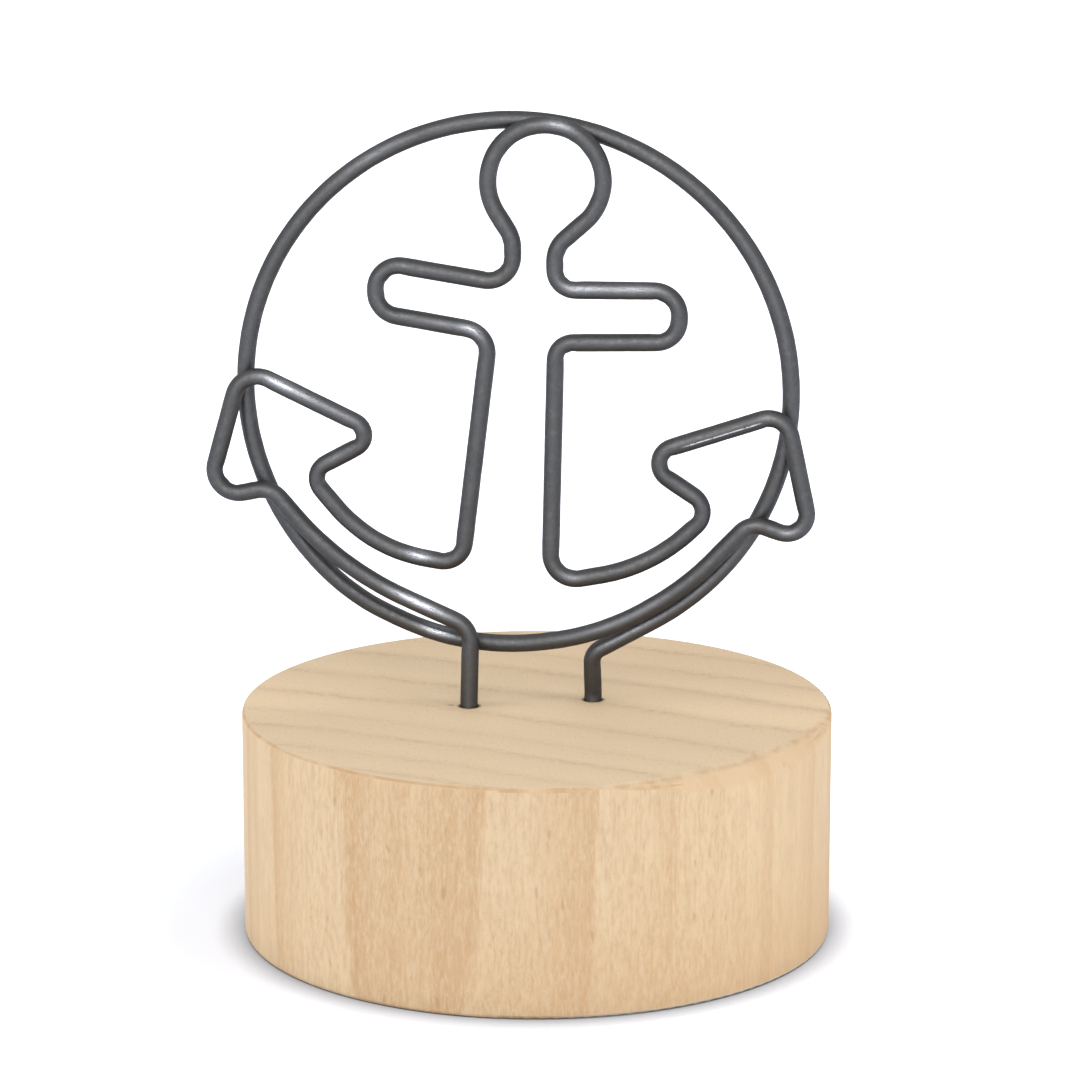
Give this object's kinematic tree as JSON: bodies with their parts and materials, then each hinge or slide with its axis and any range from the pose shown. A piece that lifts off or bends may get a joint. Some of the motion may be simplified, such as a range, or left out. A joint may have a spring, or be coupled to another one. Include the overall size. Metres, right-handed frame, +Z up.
{
  "type": "memo clip holder",
  "caption": "Desk memo clip: one bent steel wire drawn as an anchor in front of a ring, standing in a round turned wooden base.",
  "frame": {"origin": "centre of the wooden base's underside", "axes": "+Z up, along the base's turning axis; the anchor side of the clip faces -Y and +X is to its right"},
  "size_m": [0.0635, 0.06, 0.0843],
  "materials": {
    "pale_wood": "bare sanded wood",
    "steel_wire": "dark annealed, satin"
  },
  "bodies": {
    "root": {"wooden_base": "pale_wood", "wire_clip": "steel_wire"}
  },
  "joints": []
}
